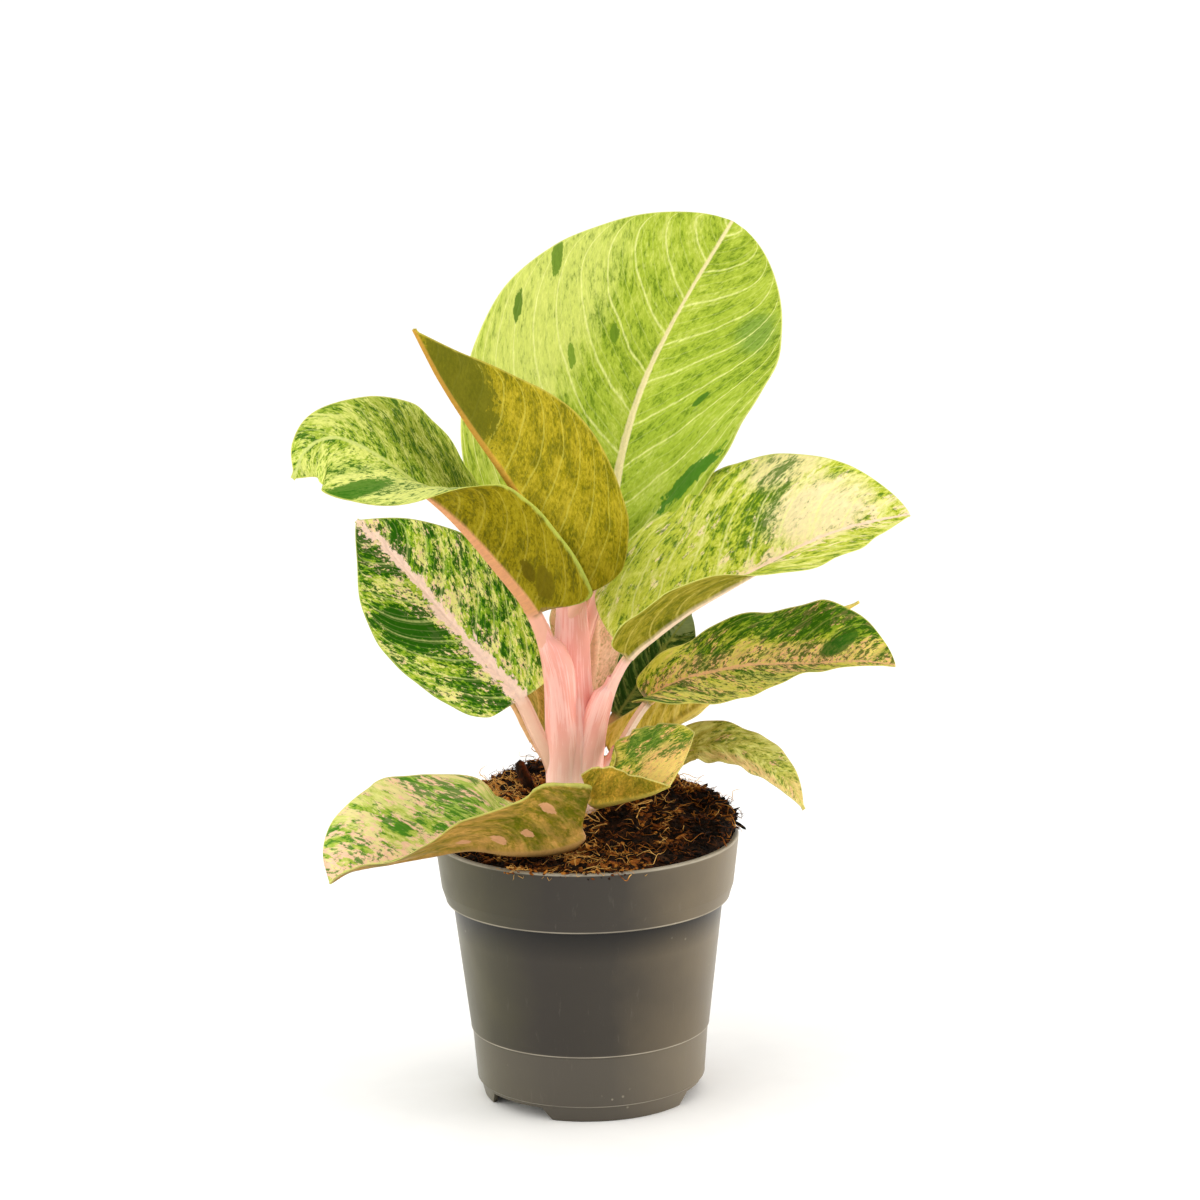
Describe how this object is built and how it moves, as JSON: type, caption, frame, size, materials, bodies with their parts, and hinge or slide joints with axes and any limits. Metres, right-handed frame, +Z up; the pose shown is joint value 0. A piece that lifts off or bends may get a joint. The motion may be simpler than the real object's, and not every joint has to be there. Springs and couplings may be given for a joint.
{
  "type": "potted chinese evergreen",
  "caption": "Bushy house plant with broad speckled green and pink leaves on a pale pink stem, in a tapered plastic nursery pot filled with peat.",
  "frame": {"origin": "middle of the pot's underside, on the flat pad that rests on the surface", "axes": "+Z up along the pot's axis, -Y towards the pictured side, +X to the right as pictured"},
  "size_m": [0.2336, 0.1489, 0.3432],
  "materials": {
    "pot": "satin",
    "soil": "matte",
    "stem": "satin",
    "leaf_top": "satin",
    "leaf_folded": "satin",
    "leaf_left_arching": "satin",
    "leaf_left_flat": "satin",
    "leaf_right_broad": "satin",
    "leaf_right_waved": "satin",
    "leaf_right_drooping": "satin",
    "leaf_front_cupped": "satin",
    "leaf_front_left": "satin",
    "leaf_back_left": "satin",
    "leaf_back_right": "satin",
    "leaf_back_middle": "satin",
    "leaf_right_back": "satin"
  },
  "bodies": {
    "root": {"pot": "pot", "soil": "soil", "stem": "stem", "leaf_top": "leaf_top", "leaf_folded": "leaf_folded", "leaf_left_arching": "leaf_left_arching", "leaf_left_flat": "leaf_left_flat", "leaf_right_broad": "leaf_right_broad", "leaf_right_waved": "leaf_right_waved", "leaf_right_drooping": "leaf_right_drooping", "leaf_front_cupped": "leaf_front_cupped", "leaf_front_left": "leaf_front_left", "leaf_back_left": "leaf_back_left", "leaf_back_right": "leaf_back_right", "leaf_back_middle": "leaf_back_middle", "leaf_right_back": "leaf_right_back"}
  },
  "joints": []
}
